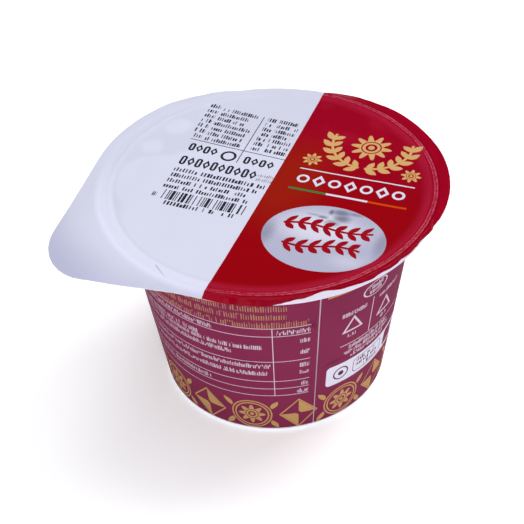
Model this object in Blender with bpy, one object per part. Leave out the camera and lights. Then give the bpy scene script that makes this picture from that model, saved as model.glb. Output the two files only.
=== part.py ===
"""Shut burrata tub: a tapered pot, its wrap-around label and its heat-sealed film lid.

Metres, +Z up. The origin is the centre of the flat base, +Z runs up the pot's axis, and the
lid's pull tab points along -X. The pack is unopened, so the pot is solid through: it stands
for the plastic wall, the cheese and its brine together.
"""

import math

import bmesh
import bpy

MM = 0.001

# Pot
BASE_RADIUS = 33.5 * MM         # where the wall's cone meets the floor plane
WALL_SLOPE = 0.1315             # gain in radius for each unit of height
BASE_ROUND = 1.2 * MM           # rounding between base and wall
RIM_RADIUS = 47.2 * MM          # outside of the turned-down lip
RIM_TOP = 65.1 * MM             # top face of the rim
RIM_PLATE = 1.2 * MM            # thickness of the rim's flat ring
LIP_HEIGHT = 2.5 * MM           # height of the lip, from its lower edge to the rim's top
LIP_WALL = 0.9 * MM
RIM_INNER = 43.6 * MM           # inner edge of the rim's flat ring
CONTENT_DROP = 1.3 * MM         # how far the contents stay below the rim
EDGE_ROUND = 0.25 * MM

# Label, which lies in a shallow recess of the pot's wall
LABEL_BOTTOM = 1.3 * MM
LABEL_TOP = 61.2 * MM
LABEL_SKIN = 0.3 * MM
LABEL_GAP = 0.3 * MM            # clearance between the label and the recess
RECESS_EASE = 0.1 * MM          # slope of the recess's two edges, measured upwards
SEAM_ANGLE = math.radians(261.1)
SEAM_WIDTH = 0.9 * MM

# Film lid
FILM_SKIN = 0.4 * MM
FILM_GAP = 0.3 * MM             # clearance between the film and the rim
FILM_TOP = RIM_TOP + FILM_GAP + FILM_SKIN
FILM_SAG = 0.8 * MM             # dip of the film's middle below its sealed ring
SEAL_RADIUS = 46.1 * MM         # crest of the pressed seal ridge
SEAL_HEIGHT = 0.25 * MM
SEAL_HALF = 0.5 * MM            # half the ridge's width
CUT_RADIUS = 50.2 * MM          # the die-cut circle of the film
CUT_CENTRE = (0.3 * MM, 1.4 * MM)   # the film is cut slightly off the pot's axis
TAB_ROUND = 15.0 * MM           # rounding of the tab's square corner
BEND_RADIUS = 0.7 * MM          # bend of the film over the rim's edge
BEND_STEPS = 3
SAG_RINGS = (0.3, 0.6, 0.82, 0.94, 1.0)     # rings of the sagging middle, as shares of its radius

# How steeply the film's free edge turns down, in degrees, at angles round the pot
FOLD = (
    (-180, 12), (-160, 12), (-148, 16), (-136, 45), (-124, 70), (-112, 72), (-101, 22),
    (-92, 66), (-75, 70), (-62, 62), (-52, 46), (-42, 24), (-30, 15), (-10, 8), (10, 6),
    (28, 18), (42, 32), (54, 42), (68, 36), (84, 20), (100, 8), (130, 5), (150, 9), (180, 12),
)

# Local changes of the film's free width: angle in degrees, spread in degrees, change
EDGE_WAVES = (
    (-101, 8, -1.0 * MM),
    (-62, 18, -0.7 * MM),
    (-128, 14, 0.7 * MM),
    (-33, 14, 0.9 * MM),
)

POT_STEPS = 72
FILM_STEPS = 96
TAB_CROWDING = 0.45             # how much closer the film's steps lie at the tab

WHITE_PLASTIC = (0.80, 0.81, 0.88, 1.0)
LABEL_PLUM = (0.24, 0.05, 0.11, 1.0)
FILM_WHITE = (0.70, 0.72, 0.83, 1.0)


def clear_scene():
    """Remove whatever the opened file holds."""
    for item in list(bpy.data.objects):
        bpy.data.objects.remove(item, do_unlink=True)


def make_material(name, colour, roughness):
    """One opaque plastic, with the piece's own colour and gloss."""
    material = bpy.data.materials.new(name)
    material.use_nodes = True
    shader = material.node_tree.nodes["Principled BSDF"]
    shader.inputs["Base Color"].default_value = colour
    shader.inputs["Roughness"].default_value = roughness
    shader.inputs["Metallic"].default_value = 0.0
    return material


def finish_piece(name, bm, material):
    """Turn a bmesh into a named, smooth-shaded object at the world origin."""
    bmesh.ops.recalc_face_normals(bm, faces=bm.faces)
    mesh = bpy.data.meshes.new(name)
    bm.to_mesh(mesh)
    bm.free()
    mesh.shade_smooth()
    mesh.set_sharp_from_angle(angle=math.radians(35))
    mesh.materials.append(material)
    piece = bpy.data.objects.new(name, mesh)
    bpy.context.collection.objects.link(piece)
    return piece


def wall_radius(height):
    """Outer radius of the pot's cone, which is also the label's outside."""
    return BASE_RADIUS + WALL_SLOPE * height


def arc(centre, radius, start, end, steps):
    """Points in the (radius, height) plane along an arc, angles in degrees."""
    points = []
    for step in range(steps + 1):
        angle = math.radians(start + (end - start) * step / steps)
        points.append((centre[0] + radius * math.cos(angle), centre[1] + radius * math.sin(angle)))
    return points


def spin_profile(bm, points, start, sweep, steps, closed):
    """Sweep (radius, height) points about Z, from the angle start on."""
    verts = []
    for radius, height in points:
        verts.append(bm.verts.new((radius * math.cos(start), radius * math.sin(start), height)))
    edges = [bm.edges.new(pair) for pair in zip(verts, verts[1:])]
    if closed:
        edges.append(bm.edges.new((verts[-1], verts[0])))
    bmesh.ops.spin(
        bm, geom=verts + edges, cent=(0, 0, 0), axis=(0, 0, 1), angle=sweep, steps=steps,
        use_merge=abs(sweep) > math.tau - 1e-6,
    )


def pot_profile():
    """Half section of the pot, from the middle of the base to the middle of the top."""
    recess = LABEL_SKIN + LABEL_GAP
    lip_bottom = RIM_TOP - LIP_HEIGHT
    plate_bottom = RIM_TOP - RIM_PLATE
    corner = (wall_radius(BASE_ROUND) - BASE_ROUND, BASE_ROUND)
    foot = LABEL_BOTTOM - LABEL_GAP
    shoulder = LABEL_TOP + LABEL_GAP
    points = [(0.0, 0.0)]
    points += arc(corner, BASE_ROUND, -90, -10, 3)
    points.append((wall_radius(foot) - recess, foot + RECESS_EASE))
    points.append((wall_radius(shoulder) - recess, shoulder))
    points.append((wall_radius(shoulder), shoulder + RECESS_EASE))
    points.append((wall_radius(plate_bottom), plate_bottom))
    points.append((RIM_RADIUS - LIP_WALL, plate_bottom))
    points.append((RIM_RADIUS - LIP_WALL, lip_bottom))
    points.append((RIM_RADIUS, lip_bottom))
    points += arc((RIM_RADIUS - EDGE_ROUND, RIM_TOP - EDGE_ROUND), EDGE_ROUND, 0, 90, 2)
    points.append((RIM_INNER, RIM_TOP))
    points.append((RIM_INNER, RIM_TOP - CONTENT_DROP))
    points.append((0.0, RIM_TOP - CONTENT_DROP))
    return points


def build_pot():
    """The tapered pot with its flat base, its label recess and its turned-down lip."""
    bm = bmesh.new()
    spin_profile(bm, pot_profile(), 0.0, math.tau, POT_STEPS, closed=False)
    bmesh.ops.remove_doubles(bm, verts=bm.verts, dist=1e-7)
    return finish_piece("tub", bm, make_material("tub_plastic", WHITE_PLASTIC, 0.35))


def build_label():
    """The wrap-around label: a skin that stops short of itself at the seam."""
    mid_radius = wall_radius((LABEL_BOTTOM + LABEL_TOP) / 2)
    gap_angle = SEAM_WIDTH / mid_radius
    low, high = wall_radius(LABEL_BOTTOM), wall_radius(LABEL_TOP)
    section = [
        (low - LABEL_SKIN, LABEL_BOTTOM), (low, LABEL_BOTTOM),
        (high, LABEL_TOP), (high - LABEL_SKIN, LABEL_TOP),
    ]
    bm = bmesh.new()
    start = SEAM_ANGLE + gap_angle / 2
    spin_profile(bm, section, start, math.tau - gap_angle, POT_STEPS, closed=True)
    ends = [edge for edge in bm.edges if edge.is_boundary]
    bmesh.ops.holes_fill(bm, edges=ends, sides=4)
    return finish_piece("label_wrap", bm, make_material("label_print", LABEL_PLUM, 0.4))


def fold_angle(degrees):
    """Turn-down of the film's free edge at an angle round the pot, in radians."""
    for (a0, f0), (a1, f1) in zip(FOLD, FOLD[1:]):
        if a0 <= degrees <= a1:
            share = (degrees - a0) / (a1 - a0)
            ease = share * share * (3 - 2 * share)
            return math.radians(f0 + (f1 - f0) * ease)
    return math.radians(FOLD[0][1])


def ray_to_circle(direction, centre, radius):
    """Distance from the axis, along direction, to the far side of a circle."""
    along = direction[0] * centre[0] + direction[1] * centre[1]
    inside = centre[0] ** 2 + centre[1] ** 2 - radius ** 2
    reach = along * along - inside
    return along + math.sqrt(reach) if reach > 0 else 0.0


def tab_distance(direction):
    """Distance along direction to the pull tab's edge, or None away from the tab.

    The tab is a square corner: two tangents to the cut circle at 45 degrees to -X, joined
    by a rounding.
    """
    centre_x, centre_y = CUT_CENTRE
    half = math.sqrt(0.5)
    distance = None
    for side in (half, -half):
        facing = side * direction[1] - half * direction[0]
        if facing <= 1e-6:
            continue
        reach = (CUT_RADIUS + side * centre_y - half * centre_x) / facing
        if distance is None or reach < distance:
            distance = reach
    if distance is None:
        return None
    along = centre_x - distance * direction[0]
    if along < abs(distance * direction[1] - centre_y):
        return None
    round_centre = (centre_x - (CUT_RADIUS - TAB_ROUND) / half, centre_y)
    tip = ray_to_circle(direction, round_centre, TAB_ROUND)
    if round_centre[0] - tip * direction[0] >= abs(tip * direction[1] - centre_y):
        return tip
    return distance


def cut_distance(angle):
    """Distance from the axis to the film's cut edge, measured flat."""
    direction = (math.cos(angle), math.sin(angle))
    distance = tab_distance(direction) or ray_to_circle(direction, CUT_CENTRE, CUT_RADIUS)
    for middle, spread, change in EDGE_WAVES:
        turn = (math.degrees(angle) - middle + 180) % 360 - 180
        distance += change * math.exp(-((turn / spread) ** 2))
    return distance


def sealed_height(radius):
    """Height of the film's top inside the rim's edge: a shallow sag and the seal ridge."""
    sag = FILM_SAG * (1 - (radius / RIM_INNER) ** 2) if radius < RIM_INNER else 0.0
    ridge = SEAL_HEIGHT * max(0.0, 1 - abs(radius - SEAL_RADIUS) / SEAL_HALF)
    return FILM_TOP - sag + ridge


def film_section(angle):
    """Top and bottom points of the film at one angle, from its middle to its cut edge."""
    radii = [RIM_INNER * share for share in SAG_RINGS]
    radii += [SEAL_RADIUS - SEAL_HALF, SEAL_RADIUS, SEAL_RADIUS + SEAL_HALF, RIM_RADIUS]
    top = [(radius, sealed_height(radius)) for radius in radii]
    bottom = [(radius, min(height, FILM_TOP) - FILM_SKIN) for radius, height in top]
    fold = fold_angle((math.degrees(angle) + 180) % 360 - 180)
    free = cut_distance(angle) - RIM_RADIUS - fold * BEND_RADIUS
    centre = FILM_TOP - BEND_RADIUS
    for points, radius in ((top, BEND_RADIUS), (bottom, BEND_RADIUS - FILM_SKIN)):
        for step in range(1, BEND_STEPS + 1):
            turn = fold * step / BEND_STEPS
            points.append((RIM_RADIUS + radius * math.sin(turn), centre + radius * math.cos(turn)))
        end_radius, end_height = points[-1]
        points.append((end_radius + free * math.cos(fold), end_height - free * math.sin(fold)))
    return top, bottom


def build_film():
    """The film lid: sagging middle, seal ridge, turned-down edge and flat pull tab."""
    bm = bmesh.new()
    sections = []
    for step in range(FILM_STEPS):
        even = -math.pi + math.tau * step / FILM_STEPS
        angle = even + TAB_CROWDING * math.sin(even)
        top, bottom = film_section(angle)
        turn = (math.cos(angle), math.sin(angle))
        sections.append([(r * turn[0], r * turn[1], z) for r, z in top + bottom[::-1]])
    rings = []
    for points in zip(*sections):
        verts = [bm.verts.new(point) for point in points]
        rings.append([bm.edges.new(pair) for pair in zip(verts, verts[1:] + verts[:1])])
    for ring, following in zip(rings, rings[1:]):
        bmesh.ops.bridge_loops(bm, edges=ring + following)
    for ring in (rings[0], rings[-1]):
        cap = bmesh.ops.contextual_create(bm, geom=ring)["faces"]
        bmesh.ops.poke(bm, faces=cap)
    return finish_piece("film_lid", bm, make_material("film_print", FILM_WHITE, 0.2))


clear_scene()
build_pot()
build_label()
build_film()
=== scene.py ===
# %% [markdown]
# # A shut burrata tub
#
# This lesson builds one unopened pack of burrata: a tapered plastic pot, a printed label
# round its wall, and a glossy film lid that is welded to the pot's rim and ends in a large
# pull tab. The pack's solid model comes first, as a fixed frame. Each of its three parts is
# then replaced by a finer mesh with its own procedural material.
#
# Every cell adds one thing and prints what it made, so the script can be read and run from
# top to bottom.

# %% Load the frame
import math

import bpy
import numpy as np
from mathutils import Matrix, Vector


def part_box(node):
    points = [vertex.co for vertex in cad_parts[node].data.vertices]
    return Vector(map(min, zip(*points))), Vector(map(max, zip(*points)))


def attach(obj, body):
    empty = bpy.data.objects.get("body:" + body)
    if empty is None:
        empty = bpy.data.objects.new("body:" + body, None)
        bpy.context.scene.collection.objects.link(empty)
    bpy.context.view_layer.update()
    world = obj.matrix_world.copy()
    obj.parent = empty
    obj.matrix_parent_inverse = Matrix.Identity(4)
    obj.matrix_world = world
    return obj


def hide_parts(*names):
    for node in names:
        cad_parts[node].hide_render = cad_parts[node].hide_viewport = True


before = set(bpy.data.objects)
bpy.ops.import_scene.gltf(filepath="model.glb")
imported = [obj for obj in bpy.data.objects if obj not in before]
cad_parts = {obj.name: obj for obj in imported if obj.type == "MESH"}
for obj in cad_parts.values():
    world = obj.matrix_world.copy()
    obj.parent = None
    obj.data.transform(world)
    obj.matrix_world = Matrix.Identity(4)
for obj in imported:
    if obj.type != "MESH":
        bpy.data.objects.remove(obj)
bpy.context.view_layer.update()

print("parts of the frame:", ", ".join(sorted(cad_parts)))

# %% [markdown]
# ## Sizes
#
# Blender works in metres, and a food pack is easier to think about in millimetres. So every
# length below is in millimetres, and `MM` turns it into metres where it meets Blender. The
# rim's radius and the film's level are read from the frame, so that the new pieces sit
# exactly where the solid ones do.

# %% Sizes of the pack
MM = 0.001

tub_low, tub_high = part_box("tub")
film_low, film_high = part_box("film_lid")
label_low, label_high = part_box("label_wrap")

RIM_RADIUS = tub_high.x / MM            # outside of the pot's turned-down lip
FILM_LEVEL = tub_high.z / MM + 0.7      # top of the film where it lies on the rim
LABEL_BOTTOM = label_low.z / MM
LABEL_TOP = label_high.z / MM

BASE_RADIUS = 33.5                      # where the wall's cone meets the floor
WALL_SLOPE = 0.1315                     # gain in radius for each millimetre of height
SEAM_ANGLE = 261.1                      # degrees round the pot where the label's ends meet
SEAM_WIDTH = 0.42


def wall_radius(height):
    """Outer radius of the pot's wall, and of the label on it."""
    return BASE_RADIUS + WALL_SLOPE * height


print(f"rim radius {RIM_RADIUS:.1f} mm, film level {FILM_LEVEL:.1f} mm")

# %% [markdown]
# ## Camera
#
# The pack is seen from above and a little to its tab's side. A camera is placed by turning
# round the object (azimuth), rising (elevation) and stepping back along that direction. Its
# small roll tips the horizon, as in a picture taken by hand. The three axes of the camera are
# computed here and written straight into its matrix, which is clearer than chaining three
# rotations.

# %% Camera
AZIMUTH, ELEVATION, ROLL = (math.radians(a) for a in (-26.0, 41.0, -2.79))
CAMERA_DISTANCE = 373.4 * MM
CAMERA_AIM = Vector((-1.04, 4.38, 33.45)) * MM
FIELD_OF_VIEW = math.radians(23.62)

back = Vector((
    math.sin(AZIMUTH) * math.cos(ELEVATION),
    -math.cos(AZIMUTH) * math.cos(ELEVATION),
    math.sin(ELEVATION),
))
level_right = Vector((math.cos(AZIMUTH), math.sin(AZIMUTH), 0.0))
level_up = back.cross(level_right)
right = math.cos(ROLL) * level_right + math.sin(ROLL) * level_up
up = back.cross(right)

bpy.ops.object.camera_add()
camera = bpy.context.object
camera.name = "camera"
camera.matrix_world = (
    Matrix.Translation(CAMERA_AIM + back * CAMERA_DISTANCE)
    @ Matrix((right, up, back)).transposed().to_4x4()
)
camera.data.angle = FIELD_OF_VIEW
camera.data.clip_start = 0.01
bpy.context.scene.camera = camera
print("camera at", [round(c / MM, 1) for c in camera.matrix_world.translation], "mm")

# %% [markdown]
# ## Floor and light
#
# Glossy film shows what is around it, so the studio matters as much as the paint. The lid
# mirrors the sky behind the pack, so the world is kept dim there and four soft panels do the
# lighting from the side, from above and from the front. The floor glows a little, like paper
# on a light table, which keeps the shadow pale and lights the wall of the pot from below. Far
# from the pack the glow grows, and only the camera sees a pale world, so that low views meet
# no dark horizon.

# %% Floor
bpy.ops.mesh.primitive_plane_add(size=6.0, location=(0.0, 0.0, 0.0))
floor = bpy.context.object
floor.name = "floor"
floor_finish = bpy.data.materials.new("floor_paper")
floor_finish.use_nodes = True
floor_shader = floor_finish.node_tree.nodes["Principled BSDF"]
floor_shader.inputs["Base Color"].default_value = (0.94, 0.94, 0.95, 1.0)
floor_shader.inputs["Roughness"].default_value = 0.9
floor_shader.inputs["Emission Strength"].default_value = 1.0
floor_nodes, floor_links = floor_finish.node_tree.nodes, floor_finish.node_tree.links
floor_place = floor_nodes.new("ShaderNodeTexCoord")
floor_distance = floor_nodes.new("ShaderNodeVectorMath")
floor_distance.operation = "LENGTH"
floor_glow = floor_nodes.new("ShaderNodeMapRange")
floor_glow.inputs["From Min"].default_value = 0.4
floor_glow.inputs["From Max"].default_value = 1.8
floor_glow.inputs["To Min"].default_value = 0.275
floor_glow.inputs["To Max"].default_value = 0.92
floor_links.new(floor_place.outputs["Object"], floor_distance.inputs[0])
floor_links.new(floor_distance.outputs["Value"], floor_glow.inputs["Value"])
floor_links.new(floor_glow.outputs["Result"], floor_shader.inputs["Emission Color"])
floor.data.materials.append(floor_finish)

world = bpy.data.worlds.new("studio")
world.use_nodes = True
world_light = world.node_tree.nodes["Background"]
world_light.inputs["Color"].default_value = (0.93, 0.95, 1.0, 1.0)
world_rays = world.node_tree.nodes.new("ShaderNodeLightPath")
world_strength = world.node_tree.nodes.new("ShaderNodeMapRange")
world_strength.inputs["To Min"].default_value = 0.14
world_strength.inputs["To Max"].default_value = 1.05
world.node_tree.links.new(world_rays.outputs["Is Camera Ray"], world_strength.inputs["Value"])
world.node_tree.links.new(world_strength.outputs["Result"], world_light.inputs["Strength"])
bpy.context.scene.world = world
bpy.context.scene.view_settings.view_transform = "Standard"
print("floor and world ready")


# %% Lights
def add_panel(name, azimuth, elevation, distance, size, power, colour):
    """A square soft light that looks at the pack's middle. Angles are in degrees."""
    turn, rise = math.radians(azimuth), math.radians(elevation)
    away = Vector((
        math.sin(turn) * math.cos(rise), -math.cos(turn) * math.cos(rise), math.sin(rise)
    ))
    bpy.ops.object.light_add(type="AREA")
    panel = bpy.context.object
    panel.name = name
    panel.location = away * distance + Vector((0.0, 0.0, 35 * MM))
    panel.rotation_euler = away.to_track_quat("Z", "Y").to_euler()
    panel.data.size = size
    panel.data.energy = power
    panel.data.color = colour
    panel.visible_camera = False
    return panel


add_panel("key_panel", 98, 55, 1.3, 0.6, 8.5, (1.0, 1.0, 1.0))
add_panel("top_panel", -40, 82, 1.6, 2.0, 14.0, (1.0, 1.0, 1.0))
add_panel("front_panel", -25, 26, 1.4, 1.0, 7.5, (1.0, 1.0, 1.0))
add_panel("back_panel", 165, 74, 1.3, 0.5, 3.0, (0.93, 0.96, 1.0))
print("four soft panels")

# %% [markdown]
# ## Tools for turned shapes
#
# A pot is round, so it can be grown like a stack of rings: one ring of edges is extruded,
# lifted and resized again and again until it has traced the whole section. This keeps clean
# quads all round, which smooth shading needs. `ring_arc` gives the stops for a rounded
# corner.


# %% Ring tools
def start_alone():
    """Leave edit mode and select nothing, so an operator acts only on the new piece."""
    if bpy.context.mode != "OBJECT":
        bpy.ops.object.mode_set(mode="OBJECT")
    bpy.ops.object.select_all(action="DESELECT")


def ring_arc(radius, height, bend, start, end, steps):
    """(radius, height) stops along an arc about a point, angles in degrees from outwards."""
    stops = []
    for step in range(steps + 1):
        angle = math.radians(start + (end - start) * step / steps)
        stops.append((radius + bend * math.cos(angle), height + bend * math.sin(angle)))
    return stops


def grow_rings(here, stops):
    """In edit mode, extrude the selected ring from here through each (radius, height)."""
    for radius, height in stops:
        bpy.ops.mesh.extrude_edges_move()
        bpy.ops.transform.translate(value=(0.0, 0.0, (height - here[1]) * MM))
        share = radius / here[0]
        bpy.ops.transform.resize(value=(share, share, 1.0), center_override=(0.0, 0.0, 0.0))
        here = (radius, height)


def cap_ring():
    """Close the selected ring with a face, and give the face a point in its middle."""
    bpy.ops.mesh.edge_face_add()
    bpy.ops.mesh.poke()


def finish_mesh(piece, sharp=40):
    """Merge doubles, turn the faces outwards and shade smooth between sharp edges."""
    bpy.ops.object.mode_set(mode="EDIT")
    bpy.ops.mesh.select_all(action="SELECT")
    bpy.ops.mesh.remove_doubles(threshold=1e-6)
    bpy.ops.mesh.normals_make_consistent(inside=False)
    bpy.ops.object.mode_set(mode="OBJECT")
    bpy.ops.object.shade_smooth_by_angle(angle=math.radians(sharp))
    faces = len(piece.data.polygons)
    print(f"{piece.name}: {len(piece.data.vertices)} points, {faces} faces")


# %% [markdown]
# ## The pot
#
# The real pot is moulded in white plastic: a recessed base inside a narrow foot, a wall that
# widens upwards so that empty pots nest, and a flat rim whose edge turns down as a stiffening
# lip. The pack is shut, so its inside never shows and the pot is closed at the level of its
# contents. It is grown from one circle, from the middle of the base out, up, and back in
# over the rim.

# %% Pot
RIM_TOP = FILM_LEVEL - 0.3              # the film's own thickness leaves a hair's gap
LIP_BOTTOM = 62.6
LIP_WALL = 0.9
PLATE_BOTTOM = 63.9                     # underside of the flat rim
RIM_INNER = 43.6
CONTENT_LEVEL = 63.8
LABEL_SKIN = 0.2
RECESS = 0.25                           # the label lies this deep in the wall
FOOT_ROUND = 1.2
BASE_RECESS = 0.8
GATE_RADIUS = 2.2                       # moulding mark in the middle of the base

foot_corner = (wall_radius(FOOT_ROUND) - FOOT_ROUND, FOOT_ROUND)
gate_edge = (GATE_RADIUS, BASE_RECESS + 0.35)
pot_stops = [(GATE_RADIUS + 0.5, BASE_RECESS), (12.0, BASE_RECESS)]
pot_stops += [(12.4, BASE_RECESS - 0.15), (12.8, BASE_RECESS), (22.0, BASE_RECESS)]
pot_stops += [(29.0, BASE_RECESS)]
pot_stops += ring_arc(29.0, BASE_RECESS - 0.4, 0.4, 60, 0, 3)
pot_stops += [(29.7, 0.1), (30.0, 0.0), (31.2, 0.0)]
pot_stops += ring_arc(foot_corner[0], foot_corner[1], FOOT_ROUND, -90, -8, 6)
pot_stops += [(wall_radius(LABEL_BOTTOM - 0.12), LABEL_BOTTOM - 0.12)]
pot_stops += [(wall_radius(LABEL_BOTTOM) - RECESS, LABEL_BOTTOM - 0.05)]
pot_stops += [
    (wall_radius(height) - RECESS, height) for height in np.linspace(LABEL_BOTTOM, LABEL_TOP, 14)
]
pot_stops += [(wall_radius(LABEL_TOP + 0.1), LABEL_TOP + 0.12)]
pot_stops += [(wall_radius(LABEL_TOP + 0.6), LABEL_TOP + 0.6)]
neck = wall_radius(PLATE_BOTTOM)
pot_stops += ring_arc(neck + 0.9, PLATE_BOTTOM - 0.9, 0.9, 170, 90, 4)
lip_inside = RIM_RADIUS - LIP_WALL
pot_stops += ring_arc(lip_inside - 0.5, PLATE_BOTTOM - 0.5, 0.5, 90, 0, 3)
pot_stops += [(lip_inside, LIP_BOTTOM + 0.25)]
pot_stops += ring_arc(lip_inside + LIP_WALL / 2, LIP_BOTTOM + 0.3, 0.42, 180, 360, 8)
pot_stops += [(RIM_RADIUS - 0.05, LIP_BOTTOM + 1.0), (RIM_RADIUS - 0.05, RIM_TOP - 1.2)]
pot_stops += ring_arc(RIM_RADIUS - 0.65, RIM_TOP - 0.6, 0.6, 0, 90, 6)
pot_stops += [(RIM_INNER + 0.3, RIM_TOP), (RIM_INNER, RIM_TOP - 0.3), (RIM_INNER, CONTENT_LEVEL)]
pot_stops += [(RIM_INNER - 0.4, CONTENT_LEVEL - 0.3), (20.0, CONTENT_LEVEL - 0.3)]

start_alone()
bpy.ops.mesh.primitive_circle_add(
    vertices=192, radius=GATE_RADIUS * MM, fill_type="TRIFAN",
    location=(0.0, 0.0, gate_edge[1] * MM),
)
pot = bpy.context.object
pot.name = "pot"
bpy.ops.object.transform_apply(location=True, rotation=True, scale=True)
bpy.ops.object.mode_set(mode="EDIT")
bpy.ops.mesh.select_mode(type="EDGE")
bpy.ops.mesh.select_all(action="DESELECT")
bpy.ops.mesh.select_non_manifold(extend=False)
grow_rings(gate_edge, pot_stops)
cap_ring()
finish_mesh(pot)

# %% [markdown]
# ## The label
#
# The label is printed flat and wrapped round the cone, and its two ends almost meet. So it is
# modelled the same way: a flat grid whose own UV map runs once along and once up, rolled
# round the wall by moving each point, then thickened by a Solidify modifier. The UV map
# stays as it was on the flat sheet, which is what the print needs later.

# %% Label
seam_gap = math.degrees(SEAM_WIDTH / wall_radius(0.5 * (LABEL_BOTTOM + LABEL_TOP)))

start_alone()
bpy.ops.mesh.primitive_grid_add(x_subdivisions=288, y_subdivisions=20, size=1.0)
label = bpy.context.object
label.name = "label"
sheet = np.empty(len(label.data.vertices) * 3)
label.data.vertices.foreach_get("co", sheet)
sheet = sheet.reshape(-1, 3)
along, rise = sheet[:, 0] + 0.5, sheet[:, 1] + 0.5
angle = np.radians(SEAM_ANGLE + seam_gap / 2 + along * (360 - seam_gap))
height = LABEL_BOTTOM + rise * (LABEL_TOP - LABEL_BOTTOM)
swell = 0.03 * np.sin(3 * angle + 0.6) * np.sin(math.pi * rise)
swell += 0.02 * np.sin(7 * angle + 4 * rise) * np.sin(math.pi * rise)
reach = wall_radius(height) + swell
sheet[:, 0] = reach * np.cos(angle) * MM
sheet[:, 1] = reach * np.sin(angle) * MM
sheet[:, 2] = height * MM
label.data.vertices.foreach_set("co", sheet.ravel())
label.data.update()

skin = label.modifiers.new("skin", "SOLIDIFY")
skin.thickness = LABEL_SKIN * MM
skin.offset = -1.0
bpy.ops.object.modifier_apply(modifier=skin.name)
bpy.ops.object.shade_smooth_by_angle(angle=math.radians(40))
print("label:", len(label.data.polygons), "faces, seam of", SEAM_WIDTH, "mm")

# %% [markdown]
# ## The film's outline
#
# The film is cut as a circle slightly larger than the rim, with one square corner left on as
# the pull tab and that corner's tip rounded. The circle isn't quite centred on the pot, so
# the free edge is wider on one side. `cut_distance` gives how far the cut lies from the
# pot's axis in every direction, on the flat film.

# %% Outline of the cut
CUT_RADIUS = 50.2
CUT_CENTRE = (0.3, 1.4)
TAB_ROUND = 15.0
HALF = math.sqrt(0.5)


def bump_at(angle, middle, spread):
    """1 at an angle and fading to 0 beside it, all in degrees."""
    turn = (np.degrees(angle) - middle + 180) % 360 - 180
    return np.exp(-((turn / spread) ** 2))


def ease(x):
    """Smooth step from 0 to 1."""
    x = np.clip(x, 0.0, 1.0)
    return x * x * (3 - 2 * x)


def circle_reach(angle, centre, radius):
    """Distance from the axis to the far side of a circle, or 0 where it is missed."""
    along = np.cos(angle) * centre[0] + np.sin(angle) * centre[1]
    inside = along**2 - centre[0] ** 2 - centre[1] ** 2 + radius**2
    return np.where(inside > 0, along + np.sqrt(np.maximum(inside, 0)), 0.0)


def cut_distance(angle):
    """Distance from the axis to the cut edge of the flat film."""
    cos, sin = np.cos(angle), np.sin(angle)
    distance = circle_reach(angle, CUT_CENTRE, CUT_RADIUS)
    sides = []
    for side in (HALF, -HALF):
        facing = side * sin - HALF * cos
        offset = CUT_RADIUS + side * CUT_CENTRE[1] - HALF * CUT_CENTRE[0]
        sides.append(np.where(facing > 1e-6, offset / np.maximum(facing, 1e-6), np.inf))
    corner = np.minimum(sides[0], sides[1])
    reach = np.where(np.isfinite(corner), corner, 0.0)
    on_tab = CUT_CENTRE[0] - reach * cos >= np.abs(reach * sin - CUT_CENTRE[1])
    distance = np.where(np.isfinite(corner) & on_tab, corner, distance)
    round_centre = (CUT_CENTRE[0] - (CUT_RADIUS - TAB_ROUND) / HALF, CUT_CENTRE[1])
    tip = circle_reach(angle, round_centre, TAB_ROUND)
    on_tip = round_centre[0] - tip * cos >= np.abs(tip * sin - CUT_CENTRE[1])
    distance = np.where((tip > 0) & on_tip, tip, distance)
    distance = distance - 1.0 * bump_at(angle, -101, 8) - 0.7 * bump_at(angle, -62, 18)
    degrees = (np.degrees(angle) + 180) % 360 - 180
    torn = ease((degrees + 113) / 5) * (1 - ease((degrees + 75) / 5))
    distance = distance + 0.15 * torn * np.cos(np.radians((degrees + 96) * 34))
    distance = distance + 0.5 * bump_at(angle, -119, 5)
    return distance + 0.7 * bump_at(angle, -128, 14) + 1.0 * bump_at(angle, -22, 26)


print("film reaches", round(float(cut_distance(np.array(math.pi))), 1), "mm at its tab")

# %% [markdown]
# ## How the film folds down
#
# Outside the weld the film is free. Fingers and packing have pressed it against the rim in
# front, left it nearly flat at the tab, and bent it a little everywhere else. The table gives
# that turn-down in degrees round the pot, and the values between are eased. `fold_path` walks
# along the film from the rim outwards: a tight bend first, then a strip that may go on
# curling, as the long tab does under its own weight.

# %% Fold of the free edge
FOLD = np.array((
    (-180, 17), (-160, 17), (-148, 18), (-138, 24), (-127, 60), (-114, 72), (-101, 26),
    (-92, 66), (-75, 70), (-62, 68), (-54, 60), (-46, 26), (-36, 17), (-10, 8), (10, 6),
    (28, 18), (42, 32), (54, 42), (68, 36), (84, 20), (100, 8), (130, 6), (150, 12), (180, 17),
), float)
BEND_RADIUS = 0.7
WALK_STEPS = 60


def fold_at(angle):
    """Turn-down of the free edge, in radians."""
    degrees = (np.degrees(angle) + 180) % 360 - 180
    place = np.clip(np.searchsorted(FOLD[:, 0], degrees, side="right") - 1, 0, len(FOLD) - 2)
    start, end = FOLD[place], FOLD[place + 1]
    share = ease((degrees - start[:, 0]) / (end[:, 0] - start[:, 0]))
    return np.radians(start[:, 1] + (end[:, 1] - start[:, 1]) * share)


def fold_path(angle, beyond, free):
    """(outward, down, slope) of a point that lies beyond the rim on the flat film."""
    fold = fold_at(angle)
    curl = 0.95 * ease((free - 4.0) / 10.0)
    bend = np.maximum(BEND_RADIUS * fold, 0.3)
    step = beyond / WALK_STEPS
    outward, down = np.zeros_like(beyond), np.zeros_like(beyond)
    for count in range(WALK_STEPS):
        walked = (count + 0.5) * step
        slope = fold * ((1 - curl) * ease(walked / bend) + 2 * curl * walked / free * 0.5)
        outward += np.cos(slope) * step
        down += np.sin(slope) * step
    return outward, down, slope


print("steepest fold", round(float(FOLD[:, 1].max())), "degrees")

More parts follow.
